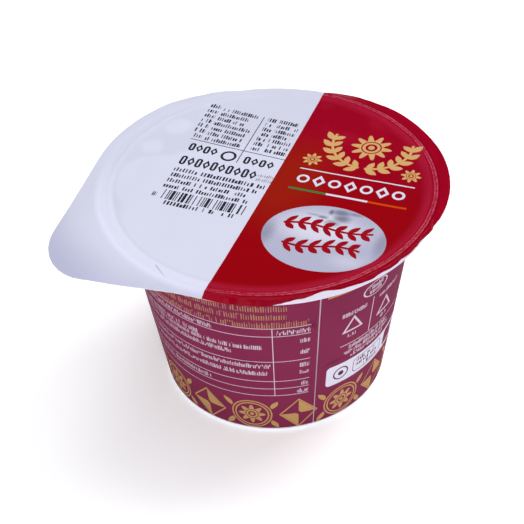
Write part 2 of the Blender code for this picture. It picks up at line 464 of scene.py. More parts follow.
# %% [markdown]
# ## Relief of the film
#
# Nothing about a film lid is perfectly flat. Its middle sags, it drops over the rim's inner
# edge, the welding tool leaves two fine raised ridges, and hands leave shallow dents and
# waves that catch the light. All of it is far thinner than a millimetre, yet it makes most of
# what the eye reads as film. A sum of a few sine waves with fixed phases gives ripples that
# are the same on every run.

# %% Relief of the film
SAG = 0.55
STEP_INNER, STEP_OUTER, STEP_DROP = 41.9, 45.0, 0.22
WELD_RIDGES = (46.05, 46.75)            # two fine ridges pressed by the welding tool
RIDGE_HEIGHT, RIDGE_WIDTH = 0.085, 0.16
SEEDS = np.random.RandomState(7)


def ripple(angle, low, high, count):
    """A closed wavy line round the pot, made of waves with low to high crests, about +-1."""
    total = np.zeros_like(angle)
    for crests in SEEDS.randint(low, high + 1, count):
        total += np.sin(crests * angle + SEEDS.uniform(0, math.tau))
    return total / math.sqrt(count)


def dent(radius, angle, at_radius, at_angle, length, width):
    """1 in the middle of a shallow oval dent and 0 away from it."""
    turn = (np.degrees(angle) - at_angle + 180) % 360 - 180
    beside = np.radians(turn) * at_radius
    return np.exp(-((beside / length) ** 2) - ((radius - at_radius) / width) ** 2)


def relief(radius, angle):
    """Height of the film's top against its level on the rim, inside the rim's edge."""
    height = -SAG * np.maximum(1 - (radius / STEP_OUTER) ** 2, 0)
    height -= STEP_DROP * (1 - ease((radius - STEP_INNER) / (STEP_OUTER - STEP_INNER)))
    edge_zone = ease((radius - 22) / 14) * (1 - ease((radius - 40) / 4))
    height += 0.10 * edge_zone * ripple(angle, 3, 9, 4)
    weld_zone = ease((radius - 43) / 1.0)
    height += 0.035 * weld_zone * ripple(angle, 14, 40, 6)
    pressed = 0.25 + 0.75 * bump_at(angle, -45, 90)
    wander = 0.05 * ripple(angle, 5, 20, 4) - 0.3 * bump_at(angle, -102, 42)
    for middle in WELD_RIDGES:
        line = np.exp(-(((radius - middle - wander) / RIDGE_WIDTH) ** 2))
        height += RIDGE_HEIGHT * pressed * line
    height += 0.05 * np.exp(-(((radius - 44.6) / 0.9) ** 2))
    height -= 0.05 * np.exp(-(((radius - 45.5) / 0.4) ** 2))
    height += 0.20 * dent(radius, angle, 39.0, 122, 3.2, 3.0)
    height += 0.20 * dent(radius, angle, 39.5, 105, 4.2, 3.0)
    height -= 0.22 * dent(radius, angle, 38.0, 134, 9.0, 1.6)
    height -= 0.16 * dent(radius, angle, 34.0, -150, 14.0, 3.0)
    return height


print("relief of the film's middle:", SAG, "mm of sag")

# %% [markdown]
# ## The film lid
#
# The film starts as a flat disc of rings, grown outwards from a small circle with the rings
# closest where the relief is finest. Each point's place on the flat sheet is kept as a UV
# map, because the real film was printed flat. The points are then moved to where the folded,
# sagging film has them, and Solidify gives the sheet its thickness, with a second material
# for the unprinted back and the cut edge.

# %% Flat film
FILM_SKIN = 0.2
FILM_POINTS = 400
SHEET = 140.0                           # the UV square covers this much of the flat film
NOMINAL_EDGE = 60.0                     # radius of the last ring before the outline is applied

film_radii = list(np.arange(6.0, 38.0, 2.0)) + list(np.arange(38.0, 43.0, 0.5))
film_radii += list(np.arange(43.0, 45.4, 0.2)) + list(np.arange(45.4, 47.0, 0.1)) + [RIM_RADIUS]
strip_shares = [0.03, 0.06, 0.1, 0.14, 0.19, 0.25, 0.32, 0.4, 0.5, 0.6, 0.7, 0.8, 0.9, 1.0]
film_radii += [RIM_RADIUS + (NOMINAL_EDGE - RIM_RADIUS) * share for share in strip_shares]

start_alone()
bpy.ops.mesh.primitive_circle_add(vertices=FILM_POINTS, radius=3 * MM, fill_type="TRIFAN")
film = bpy.context.object
film.name = "film_top"
bpy.ops.object.mode_set(mode="EDIT")
bpy.ops.mesh.select_mode(type="EDGE")
bpy.ops.mesh.select_all(action="DESELECT")
bpy.ops.mesh.select_non_manifold(extend=False)
grow_rings((3.0, 0.0), [(radius, 0.0) for radius in film_radii])
bpy.ops.mesh.select_all(action="SELECT")
bpy.ops.mesh.normals_make_consistent(inside=False)
bpy.ops.object.mode_set(mode="OBJECT")
print("flat film:", len(film.data.vertices), "points")

# %% Film folded over the rim
points = np.empty(len(film.data.vertices) * 3)
film.data.vertices.foreach_get("co", points)
points = points.reshape(-1, 3) / MM
angle = np.arctan2(points[:, 1], points[:, 0])
nominal = np.hypot(points[:, 0], points[:, 1])
free = cut_distance(angle) - RIM_RADIUS
share = np.maximum(nominal - RIM_RADIUS, 0.0) / (NOMINAL_EDGE - RIM_RADIUS)
edge_wave = 0.10 * ripple(angle, 110, 170, 5) * np.clip(fold_at(angle), 0, 1)
edge_wave *= 1 - 0.95 * bump_at(angle, -80, 46)
beyond = share * (free + edge_wave)
flat = np.where(share > 0, RIM_RADIUS + beyond, nominal)

outward, down, slope = fold_path(angle, beyond, free)
pleats = ripple(angle, 24, 60, 7) * 0.16 + ripple(angle, 60, 110, 6) * 0.06
pleats *= ease(share * 1.6) * np.clip(fold_at(angle), 0.12, 1.0)
pleats += 0.25 * ripple(angle, 5, 13, 4) * ease(share) * ease((free - 4) / 8)
reach = np.where(share > 0, RIM_RADIUS + outward + pleats * np.sin(slope), nominal)
level = FILM_LEVEL + np.where(share > 0, -down + pleats * np.cos(slope), relief(nominal, angle))
film_shape = np.stack([reach * np.cos(angle), reach * np.sin(angle), level], axis=1) * MM

film_uv = film.data.uv_layers.get("flat") or film.data.uv_layers.new(name="flat")
corner_points = np.empty(len(film.data.loops), int)
film.data.loops.foreach_get("vertex_index", corner_points)
flat_place = np.stack([flat * np.cos(angle), flat * np.sin(angle)], axis=1) / SHEET + 0.5
film_uv.data.foreach_set("uv", flat_place[corner_points].ravel())
film.data.vertices.foreach_set("co", film_shape.ravel())
film.data.update()
print("film spans", [round(float(s), 1) for s in np.ptp(film_shape, axis=0) / MM], "mm")

# %% Thickness of the film
skin = film.modifiers.new("skin", "SOLIDIFY")
skin.thickness = FILM_SKIN * MM
skin.offset = -1.0
skin.material_offset = 1
skin.material_offset_rim = 1
print("film skin:", FILM_SKIN, "mm")

# %% [markdown]
# ## Writing materials as sums
#
# A print is a lot of small sums: where is this point, is it inside that bar, which ink wins.
# Wiring them by hand would take hundreds of nodes, so a small class wraps one socket and lets
# Python's own signs add the Math nodes. `Paint` owns a material and has the one method that
# adds any other node. Masks are numbers that are 1 inside a shape and 0 outside it, so `&`
# multiplies them and `|` keeps the larger.


# %% Paint and Signal
class Signal:
    """One number that varies over a surface, with Python's signs for its Math nodes."""

    def __init__(self, paint, socket):
        self.paint = paint
        self.socket = socket

    def math(self, operation, *others):
        sockets = dict(enumerate((self, *others)))
        return Signal(self.paint, self.paint.add("Math", {"operation": operation}, sockets))

    def reversed_math(self, operation, first):
        sockets = {0: first, 1: self}
        return Signal(self.paint, self.paint.add("Math", {"operation": operation}, sockets))

    def __add__(self, other):
        return self.math("ADD", other)

    def __sub__(self, other):
        return self.math("SUBTRACT", other)

    def __mul__(self, other):
        return self.math("MULTIPLY", other)

    def __truediv__(self, other):
        return self.math("DIVIDE", other)

    def __gt__(self, other):
        return self.math("GREATER_THAN", other)

    def __lt__(self, other):
        return self.math("LESS_THAN", other)

    def __or__(self, other):
        return self.math("MAXIMUM", other)

    def __abs__(self):
        return self.math("ABSOLUTE")

    def __rsub__(self, other):
        return self.reversed_math("SUBTRACT", other)

    __radd__ = __add__
    __rmul__ = __mul__
    __and__ = __mul__

    def floor(self):
        return self.math("FLOOR")

    def fract(self):
        return self.math("FRACT")

    def sine(self):
        return self.math("SINE")

    def root(self):
        return self.math("SQRT")

    def near(self, middle, reach):
        """1 where this number is within reach of middle."""
        return self.math("COMPARE", middle, reach)

    def between(self, low, high):
        return self.near((low + high) / 2, (high - low) / 2)

    def soft(self, start, end):
        """0 at start and 1 at end, eased between."""
        settings = {"interpolation_type": "SMOOTHSTEP"}
        sockets = {"Value": self, "From Min": start, "From Max": end}
        return Signal(self.paint, self.paint.add("MapRange", settings, sockets))


class Paint:
    """A material, and the one method that adds a node to it."""

    def __init__(self, name, **constants):
        self.material = bpy.data.materials.new(name)
        self.material.use_nodes = True
        self.tree = self.material.node_tree
        self.shader = self.tree.nodes["Principled BSDF"]
        for socket, value in constants.items():
            self.shader.inputs[socket.replace("_", " ")].default_value = value

    def add(self, kind, settings=None, sockets=None, output=0):
        """Add a node, set it up, fill or link its sockets and return one of its outputs."""
        node = self.tree.nodes.new("ShaderNode" + kind)
        for setting, value in (settings or {}).items():
            setattr(node, setting, value)
        for name, value in (sockets or {}).items():
            self.join(value, node.inputs[name])
        return node.outputs[output]

    def join(self, value, socket):
        source = value.socket if isinstance(value, Signal) else value
        if isinstance(source, bpy.types.NodeSocket):
            self.tree.links.new(source, socket)
        elif socket.type == "VECTOR" and len(source) == 4:
            socket.default_value = source[:3]
        else:
            socket.default_value = source

    def number(self, kind, settings=None, sockets=None, output=0):
        return Signal(self, self.add(kind, settings, sockets, output))

    def split(self, vector):
        """The three numbers of a vector."""
        return [self.number("SeparateXYZ", {}, {0: vector}, i) for i in range(3)]

    def place(self):
        """Where the point is in the object's own space, in millimetres."""
        where = self.add("TexCoord", output="Object")
        return [axis * (1 / MM) for axis in self.split(where)]

    def noise(self, where, scale, detail=2.0, rough=0.5):
        """Soft cloudy numbers from about 0.3 to 0.7, with scale patches in each unit."""
        sockets = {"Vector": where, "Scale": scale, "Detail": detail, "Roughness": rough}
        return self.number("TexNoise", {}, sockets, "Fac")

    def draw(self, number):
        """A random number from 0 to 1, the same wherever number is the same."""
        return self.number("TexWhiteNoise", {"noise_dimensions": "1D"}, {"W": number}, "Value")

    def over(self, mask, below, ink):
        """The colour below, covered by an ink where the mask is 1."""
        sockets = {0: mask, 6: below, 7: ink}
        return self.add("Mix", {"data_type": "RGBA"}, sockets, 2)

    def shade(self, colour, amount):
        """A colour made darker or lighter by a number about 1."""
        return self.add("VectorMath", {"operation": "SCALE"}, {0: colour, "Scale": amount})

    def bump(self, height, distance, strength=1.0):
        """Fine relief: height times distance in millimetres."""
        sockets = {"Height": height, "Distance": distance * MM, "Strength": strength}
        self.join(self.add("Bump", {}, sockets), self.shader.inputs["Normal"])

    def use(self, socket, value):
        self.join(value, self.shader.inputs[socket])


print("paint tools ready")

# %% [markdown]
# ## Inks and print shapes
#
# The pack carries no words. Where the real print has text there are rows of short upright
# strokes of uneven weight, with gaps like those between words, and where it has pictures
# there are simple leaves, rings and lozenges. Each shape is a function of two numbers, the
# place across and the place up on the flat print, both in millimetres, and gives a mask.


# %% Print shapes
def disc(u, v, middle, half_width, half_height):
    """How far out a point is in an oval: 0 in its middle, 1 on its edge."""
    x = (u - middle[0]) * (1 / half_width)
    y = (v - middle[1]) * (1 / half_height)
    return (x * x + y * y).root()


def box(u, v, left, right, low, high):
    return u.between(left, right) & v.between(low, high)


def rounded_box(u, v, left, right, low, high, rounding):
    """Signed distance to a box with rounded corners, negative inside it."""
    middle_u, middle_v = (left + right) / 2, (low + high) / 2
    x = (abs(u - middle_u) - ((right - left) / 2 - rounding)).math("MAXIMUM", 0.0)
    y = (abs(v - middle_v) - ((high - low) / 2 - rounding)).math("MAXIMUM", 0.0)
    return (x * x + y * y).root() - rounding


def marks(paint, u, row, depth, cell, seed, bold=1.0):
    """Upright strokes of uneven height and weight, with gaps like those between words.

    depth runs from 0 at the row's foot to 1 at its top.
    """
    step = u * (1 / cell)
    chance = paint.draw(step.floor() + row * 61.0 + seed)
    weight = (0.36 + 0.46 * (chance * 9.7).fract()) * bold
    tall = 1 - 0.26 * (chance > 0.58)
    return (step.fract() < weight) & (chance > 0.13) & (depth < tall)


def text_block(paint, u, v, left, right, top, pitch, rows, tall, cell, seed, ragged=0.0):
    """Rows of strokes, one below the other from top down, with ragged right ends."""
    line = (top - v) * (1 / pitch)
    row = line.floor()
    depth = 1 - (line - row) * (pitch / tall)
    end = right - ragged * paint.draw(row * 13.0 + seed)
    ink = marks(paint, u, row, depth, cell, seed)
    return ink & (depth > 0.0) & row.near((rows - 1) / 2, rows / 2) & (u > left) & (u < end)


def text_rows(paint, u, v, rows, half, cell, seed, bold=1.0):
    """Strokes along single rows, each given as (level, left, right)."""
    zone, offset = None, None
    for level, left, right in rows:
        above = v - level
        here = above.near(0.0, half) & u.between(left, right)
        zone = here if zone is None else zone | here
        offset = here * above if offset is None else offset + here * above
    depth = offset * (0.5 / half) + 0.5
    ink = marks(paint, u, (v * 0.55).floor(), depth, cell, seed, bold)
    return ink & zone


def sprig(along, across, start, stop, pitch, leaf, width, stem=0.32):
    """A stem with a pair of leaves at every pitch, along a line that may itself be curved."""
    side = abs(across)
    place = (along - start) * (1 / pitch)
    local = place.fract() * pitch - 0.12 * pitch
    forward = (local + side) * HALF
    beside = (local - side) * HALF
    way = forward * (1 / leaf)
    fat = (way * (1 - way) * 4.0) * (width / 2)
    leaves = (abs(beside) < fat) & (way > 0.02) & (way < 0.98)
    return (leaves | (side < stem)) & along.between(start, stop)


def rosette(u, v, middle, radius, petals):
    """A flower of petals round a ring."""
    x, y = u - middle[0], v - middle[1]
    turn = y.math("ARCTAN2", x)
    out = (x * x + y * y).root() * (1 / radius)
    edge = 0.78 + 0.22 * (turn * petals).math("COSINE")
    petal = (out < edge) & (out > 0.5)
    return petal | out.near(0.36, 0.07) | (out < 0.16)


print("print shapes ready")

# %% [markdown]
# ## Pot plastic
#
# The pot is white moulded polypropylene: satin, very slightly cloudy, with faint flow marks.
# One soft noise varies its roughness, and a finer one gives the surface its skin. The lip is
# painted a little pink, as a painted reflection of the label below it, and the strip that shows
# in the label's seam is painted darker, as painted shade in that narrow recess.

# %% Pot plastic
plastic = Paint("tub_plastic", IOR=1.49)
where = plastic.add("TexCoord", output="Object")
cloud = plastic.noise(where, 60.0, 3.0)
grain = plastic.noise(where, 900.0, 2.0)
white = plastic.over(cloud, (0.74, 0.75, 0.82, 1.0), (0.82, 0.83, 0.90, 1.0))
height = plastic.place()[2]
# painted reflection: the lip is tinted pink, standing in for the label reflected in it
white = plastic.over(height.soft(61.8, 62.4) * 0.8, white, (0.66, 0.60, 0.76, 1.0))
# painted shade: the strip of wall that shows in the label's seam is painted darker and pinker, as
# shade in that narrow recess
behind_label = height.between(LABEL_BOTTOM + 0.1, LABEL_TOP - 0.1)
plastic.use("Base Color", plastic.over(behind_label * 0.7, white, (0.52, 0.34, 0.42, 1.0)))
plastic.use("Roughness", cloud * 0.2 + 0.24)
plastic.bump(grain, 0.02)
pot.data.materials.clear()
pot.data.materials.append(plastic.material)
print("pot plastic:", len(plastic.tree.nodes), "nodes")

# %% [markdown]
# ## Label print: places
#
# The label's UV map runs from one end of the label to the other, so a point's distance from
# the seam follows from it. `w` is that distance round the pot in millimetres at mid height,
# negative on the seam's left, and `z` is the height. The table is left of the seam and the
# small panel right of it, and the far side carries the pack's front. The label's shine is a
# weak coat, as on the film.

# %% Label places
PLUM = (0.205, 0.021, 0.067, 1.0)
GOLD = (0.500, 0.290, 0.110, 1.0)
PRINT_WHITE = (0.70, 0.62, 0.73, 1.0)
TAG_WHITE = (0.70, 0.68, 0.80, 1.0)
TAG_INK = (0.125, 0.016, 0.062, 1.0)
MID_DEGREE = math.radians(1) * wall_radius(0.5 * (LABEL_BOTTOM + LABEL_TOP))
FULL_TURN = 360 * MID_DEGREE

print_label = Paint("label_print", Specular_IOR_Level=0.0, Coat_Roughness=0.3)
sheet_u, sheet_v, _ = print_label.split(print_label.add("UVMap", {"uv_map": "UVMap"}))
w = sheet_u * (FULL_TURN - SEAM_WIDTH) + SEAM_WIDTH / 2
w = w - FULL_TURN * (w > 0.62 * FULL_TURN)
z = sheet_v * (LABEL_TOP - LABEL_BOTTOM) + LABEL_BOTTOM
print("label is", round(FULL_TURN, 1), "mm round at mid height")

# %% [markdown]
# ## Label print: the table and the rows of text
#
# Left of the seam lies a table of thin white lines, with three gold heading rows above it.
# `text_rows` gives each row its own right end, as on the real label.

# %% Table
TABLE_LEFT, TABLE_RIGHT = -72.0, -2.2
table_lines = None
for level in (47.33, 43.94, 32.87, 23.99, 20.52, 17.26):
    line = z.near(level, 0.11)
    table_lines = line if table_lines is None else table_lines | line
table_lines = table_lines & w.between(TABLE_LEFT, TABLE_RIGHT)
table_lines = table_lines | (w.near(-12.3, 0.11) & z.between(17.2, 47.3))
table_text = text_rows(print_label, w, z, (
    (45.4, TABLE_LEFT, -28.4), (45.4, -11.2, -2.4),
    (41.2, TABLE_LEFT, -33.0), (41.2, -5.2, -2.4),
    (39.2, TABLE_LEFT, -15.2), (36.6, TABLE_LEFT, -23.8), (36.3, -4.9, -2.4),
    (30.9, TABLE_LEFT, -13.2), (30.5, -5.1, -2.4),
    (27.6, TABLE_LEFT, -14.2), (27.4, -5.0, -2.4),
    (22.2, TABLE_LEFT, -31.5), (22.1, -4.6, -2.4), (18.6, -5.7, -2.4),
), 0.9, 0.50, 3.0)
headings = text_rows(print_label, w, z, (
    (55.4, TABLE_LEFT, -8.1), (52.1, TABLE_LEFT, -8.6), (48.75, TABLE_LEFT, -2.8),
), 1.15, 0.62, 11.0, bold=0.64)
print("table:", len(print_label.tree.nodes), "nodes so far")

# %% [markdown]
# ## Label print: the small panel
#
# Right of the seam are an oval, two small outlined triangles under their captions, a thin
# cross of rules, three rows of small print and a white rounded box. All are bare outlines.


# %% Small panel
def triangle_ring(u, v, middle, radius, line):
    """An upright triangle's outline with rounded corners."""
    x, y = abs(u - middle[0]), v - middle[1]
    slope = x * math.cos(math.radians(30)) + y * 0.5
    out = slope.math("MAXIMUM", y * -1.0)
    return out.near(radius, line / 2)


panel = w.near(17.0, 0.15) & z.between(33.5, 47.4)
panel = panel | (z.near(33.0, 0.14) & w.between(6.9, 33.0))
oval = disc(w, z, (17.2, 51.3), 4.6, 2.7)
panel = panel | oval.near(0.94, 0.055)
panel = panel | triangle_ring(w, z, (10.5, 40.5), 1.75, 0.62)
panel = panel | triangle_ring(w, z, (23.2, 39.4), 1.75, 0.62)
panel_text = text_rows(print_label, w, z, (
    (46.0, 6.6, 14.6), (36.9, 8.9, 12.0), (46.0, 19.6, 29.0), (35.7, 21.9, 25.0),
    (52.2, 14.6, 19.8), (50.5, 14.9, 19.4),
    (31.4, 9.8, 26.2), (29.4, 8.4, 27.6), (27.4, 11.0, 25.0),
), 0.82, 0.50, 23.0)
tag = rounded_box(w, z, 3.2, 36.2, 16.6, 25.3, 1.4)
tag_ring = disc(w, z, (8.2, 20.9), 2.7, 2.7)
tag_mark = tag_ring.near(0.9, 0.09) | (tag_ring < 0.36)
tag_frame = abs(rounded_box(w, z, 12.8, 25.4, 17.9, 23.9, 1.6)) < 0.12
tag_text = text_rows(print_label, w, z, (
    (22.7, 14.0, 22.2), (20.9, 14.0, 24.2), (19.1, 17.4, 23.4),
), 0.72, 0.85, 31.0)
tag_end = rounded_box(w, z, 27.8, 34.6, 17.6, 24.2, 1.0)
print("panel:", len(print_label.tree.nodes), "nodes so far")

# %% [markdown]
# ## Label print: the border and the front
#
# A border of gold runs round the pot's foot. It alternates two common motifs, a quartered
# lozenge and a rosette inside two rings with a leaf in each corner. The front of the pack, on
# the side turned away, carries a large wreath round a rosette, with a band of white lozenges
# across it, and further round stands a block of small print.

# %% Border
FIELDS = 8
BAND_MIDDLE, BAND_HALF = 7.9, 6.8
field_width = FULL_TURN / FIELDS
field_x = ((w + 11.5) * (1 / field_width)).fract() * field_width
band_z = z - BAND_MIDDLE
star_x = field_x - 6.4
star = abs(star_x) * (1 / 6.1) + abs(band_z) * (1 / BAND_HALF)
quarters = (star < 0.90) & (star_x * band_z > 0.0) & (star > 0.14)
border = quarters | star.near(0.97, 0.05)
flower_x = field_x - (12.8 + field_width) / 2
flower_out = (flower_x * flower_x + band_z * band_z).root()
border = border | rosette(flower_x, band_z, (0.0, 0.0), 4.3, 8.0)
border = border | flower_out.near(5.25, 0.24) | flower_out.near(6.25, 0.24)
corner_x, corner_z = abs(flower_x) - 6.0, abs(band_z) - 2.6
blade_along = corner_x * 0.42 + corner_z * 0.91
blade_across = abs(corner_x * 0.91 - corner_z * 0.42 - blade_along * blade_along * 0.04)
blade_way = blade_along * (1 / 4.6)
blades = (blade_across < blade_way * (1 - blade_way) * 3.6) & (flower_out > 6.9)
border = (border | blades) & (abs(band_z) < BAND_HALF + 0.1)
print("border:", FIELDS, "fields of", round(field_width, 1), "mm")

# %% Front
FRONT = 76.0
front_x, front_z = w - FRONT, z - 37.5
front_out = (front_x * front_x + front_z * front_z).root()
front_turn = abs(front_x.math("ARCTAN2", front_z * -1.0))
WREATH = 14.0
wreath = sprig(front_turn * WREATH, front_out - WREATH, 1.2, 39.0, 4.2, 5.0, 2.3)
front_gold = wreath | rosette(w, z, (FRONT, 39.5), 8.0, 12.0)
row_x = abs(((w - FRONT) * (1 / 4.0)).fract() - 0.5)
front_row = ((row_x * 4.0 + abs(z - 29.8)) < 1.5) & w.near(FRONT, 8.0)
side_text = text_block(
    print_label, w, z, 106.0, 140.0, 54.0, 3.0, 12, 1.8, 0.50, 41.0, ragged=9.0
)
top_line = z.near(56.0, 0.3) & w.between(1.9, 140.0)

# %% Label colour and surface
where = print_label.add("TexCoord", output="Object")
mottle = print_label.noise(where, 45.0, 3.0)
colour = print_label.shade(PLUM, mottle * 0.24 + 0.88)
gold = print_label.shade(GOLD, mottle * 0.3 + 0.85)
gold_ink = border | front_gold | top_line
white_ink = table_lines | panel | front_row
fine_print = table_text | panel_text | side_text
colour = print_label.over(headings * 0.72, colour, gold)
colour = print_label.over(gold_ink, colour, gold)
# painted shade: the white small print fades towards the table's left end, where the label lies in
# shade
fine_print = fine_print * (0.74 - 0.42 * w.soft(-26.0, -58.0))
colour = print_label.over(white_ink * 0.85 | fine_print, colour, PRINT_WHITE)
tag_ink = tag_mark | tag_frame | tag_text
colour = print_label.over(tag < 0.0, colour, TAG_WHITE)
colour = print_label.over(tag_end < 0.0, colour, PLUM)
colour = print_label.over(tag_ink & (tag < 0.0), colour, TAG_INK)
print_label.use("Base Color", colour)
ripples = print_label.noise(where, 70.0, 2.0)
orange_peel = print_label.noise(where, 700.0, 1.0)
dents = disc(w, z + w * -0.22, (5.4, 26.6), 4.6, 0.8).soft(1.0, 0.0)
dents = dents | disc(w + z * 0.3, z, (12.6, 47.0), 0.8, 2.4).soft(1.0, 0.0)
dents = dents | disc(w, z + w * 0.3, (-19.0, 27.0), 3.4, 0.8).soft(1.0, 0.0)
print_label.use("Roughness", mottle * 0.16 + 0.24)
print_label.use("Coat Weight", mottle * 0.08 + 0.05)
print_label.bump(ripples + orange_peel * 0.06 - dents * 2.1, 0.35)
label.data.materials.append(print_label.material)
print("label print:", len(print_label.tree.nodes), "nodes")

# %% [markdown]
# ## Film print: places
#
# The film's UV map keeps each point's place on the flat sheet, so a line of print stays
# straight across the fold at the rim. The print is turned against the tab, so `u` runs
# across the colour boundary and `v` along it.

# %% Film places
PRINT_TURN = math.radians(-48)
RED = (0.262, 0.0005, 0.0035, 1.0)
CRIMSON = (0.272, 0.0006, 0.012, 1.0)
SHEEN_RED = (0.350, 0.010, 0.036, 1.0)    # painted sheen where the rim's shoulder and weld catch the light
FILM_WHITE = (0.595, 0.600, 0.720, 1.0)
BLACK_INK = (0.020, 0.018, 0.030, 1.0)
RED_EDGE = 0.42

print_film = Paint("film_print", Specular_IOR_Level=0.0, Coat_Roughness=0.14)
sheet_x, sheet_y, _ = print_film.split(print_film.add("UVMap", {"uv_map": "flat"}))
sheet_x = (sheet_x - 0.5) * SHEET
sheet_y = (sheet_y - 0.5) * SHEET
u = sheet_x * math.cos(PRINT_TURN) + sheet_y * math.sin(PRINT_TURN)
v = sheet_y * math.cos(PRINT_TURN) - sheet_x * math.sin(PRINT_TURN)
red_side = (u - 0.0105 * v) > RED_EDGE
print("print turned", round(math.degrees(PRINT_TURN)), "degrees")

# %% Black print on the white side
def stroke_rows(*place, **more):
    """Rows of strokes on the film, which drew the print slightly askew when it shrank."""
    return text_block(print_film, u, v + (v + 12.0) * (u + 15.0) * 0.0017, *place, **more)


def bold_row(left, right, low, high, cell):
    """A chain of heavy upright rings and lozenges, turn about."""
    step = (u - left) * (1 / cell)
    x = (step.fract() - 0.5) * cell
    y = v + (v + 12.0) * (u + 15.0) * 0.0017 - (low + high) / 2
    ring = abs(rounded_box(x, y, -0.92, 0.92, (low - high) / 2, (high - low) / 2, 0.9) + 0.34) < 0.34
    lozenge = abs(x) * (1 / 1.1) + abs(y) * (2 / (high - low))
    lozenge = (lozenge < 1.0) & (lozenge > 0.42)
    odd = (step.floor() * 0.5).fract() > 0.25
    return (ring + (lozenge - ring) * odd) & u.between(left, right)


black = stroke_rows(-29.8, -26.4, 31.0, 2.52, 7, 1.8, 0.78, 51.0)
black = black | stroke_rows(-25.5, -12.9, 30.6, 2.52, 7, 1.7, 0.72, 52.0, ragged=4.5)
black = black | stroke_rows(-10.7, -7.9, 30.7, 2.48, 7, 1.8, 0.78, 53.0)
black = black | stroke_rows(-7.0, 0.2, 30.9, 2.48, 7, 1.7, 0.72, 54.0, ragged=2.0)
black = black | (v + u * 0.05).near(12.13, 0.14) & u.between(-29.2, 1.0)
black = black | box(u, v, -12.4, -12.15, 6.8, 30.4)
black = black | bold_row(-28.3, -19.1, 7.8, 11.3, 2.3)
black = black | bold_row(-10.9, -1.3, 7.2, 10.7, 2.4)
black = black | disc(u, v, (-15.5, 9.0), 2.35, 2.35).near(0.84, 0.16)
black = black | bold_row(-28.4, -4.5, 1.0, 5.1, 2.39)
black = black | stroke_rows(-28.1, -0.4, -0.55, 2.65, 1, 1.75, 0.94, 60.0)
black = black | stroke_rows(-28.0, -0.8, -3.2, 2.6, 3, 1.65, 0.82, 61.0, ragged=3.6)
bars = (u * (1 / 0.29)).floor()
bar_on = (print_film.draw(bars + 38.0) > 0.33) & ((bars * 0.25).fract() > 0.1)
black = black | bar_on & box(u, v, -26.9, -2.1, -15.1, -10.9)
black = black | stroke_rows(-24.8, -14.8, -15.5, 2.4, 1, 1.7, 0.95, 71.0)
black = black | stroke_rows(-13.2, -3.6, -15.5, 2.4, 1, 1.7, 0.95, 73.0)
black = black | stroke_rows(-29.3, -28.1, -12.9, 2.4, 1, 1.7, 0.6, 75.0)
faint = stroke_rows(-4.2, 0.4, 4.3, 2.0, 2, 1.5, 0.6, 81.0)
print("black print:", len(print_film.tree.nodes), "nodes so far")

# %% [markdown]
# ## Film print: the red side
#
# Gold leaves curve round a rosette, with two small rosettes beside them. Under them lie a
# hairline, a frieze of white rings and lozenges, and a rule in green, white and orange. The
# oval below shows folded white cheese, as fine ribs with soft grey creases, and carries two
# dark red sprigs.

# %% Gold ornament and frieze
u, v = u + 0.2, v - 0.6                 # the film's sag has drawn this side's print along
LEAF_MIDDLE = (22.8, 25.6)
LEAF_RING = 11.6
leaf_x, leaf_v = u - LEAF_MIDDLE[0], v - LEAF_MIDDLE[1]
leaf_out = (leaf_x * leaf_x + leaf_v * leaf_v).root()
leaf_turn = abs(leaf_x.math("ARCTAN2", leaf_v * -1.0))
film_gold = sprig(leaf_turn * LEAF_RING, leaf_out - LEAF_RING, 0.8, 20.6, 3.3, 4.0, 1.9, 0.4)
film_gold = film_gold | rosette(u, v, (22.8, 24.2), 6.0, 10.0)
film_gold = film_gold | rosette(u, v, (8.2, 14.2), 2.9, 8.0)
film_gold = film_gold | rosette(u, v, (37.2, 14.2), 2.9, 8.0)

frieze_step = (u - 6.3) * (1 / 4.6)
frieze_x = (frieze_step.fract() - 0.5) * 4.6
frieze_v = v - 4.9
frieze_out = (frieze_x * frieze_x + frieze_v * frieze_v).root()
frieze_odd = (frieze_step.floor() * 0.5).fract() > 0.25
frieze_lozenge = abs(frieze_x) * 1.35 + abs(frieze_v)
ring_mark = frieze_out.near(1.45, 0.38)
lozenge_mark = (frieze_lozenge < 2.6) & (frieze_lozenge > 1.3)
frieze = (ring_mark + (lozenge_mark - ring_mark) * frieze_odd) & u.between(6.3, 38.5)
white_print = frieze | box(u, v, 6.2, 39.6, 9.15, 9.6)
rule = v.between(-0.40, 0.40)
white_print = white_print | (rule & u.between(16.8, 28.7))
print("ornament:", len(print_film.tree.nodes), "nodes so far")

# %% Oval badge
BADGE = (22.1, -18.4)
badge_out = disc(u, v, BADGE, 16.8, 13.6)
rib_line = u * 0.73 + v * 0.68 + (v + 18.5) * (u - 22.2) * 0.008
ribs = (rib_line * (math.tau / 0.62)).sine()
FOLDS = (
    ((16.7, -9.5), (2.4, 0.50), 0.50),
    ((19.2, -9.9), (1.7, 0.75), 0.80),
    ((20.9, -7.2), (0.9, 1.20), 1.00),
    ((23.6, -6.9), (3.0, 1.60), 0.85),
    ((27.2, -6.5), (2.8, 0.90), 0.62),
    ((24.4, -9.2), (2.8, 2.00), 0.85),
    ((22.5, -11.7), (2.5, 1.60), 0.70),
    ((37.6, -16.8), (2.2, 6.50), 0.50),
    ((6.4, -20.5), (2.8, 6.00), 0.50),
)
badge_fold = 0.0
for place, radii, depth in FOLDS:
    badge_fold = disc(u, v, place, *radii).soft(1.35, 0.15) * depth | badge_fold
badge_light = disc(u, v, (20.0, -15.0), 14.0, 8.0).soft(1.2, 0.3)
badge_light = badge_light | disc(u, v, (21.6, -9.6), 1.3, 1.2).soft(1.2, 0.4)
badge_light = badge_light | disc(u, v, (31.0, -26.0), 6.0, 3.4).soft(1.4, 0.0) * 0.5
SPRIG_RISE = math.radians(4)


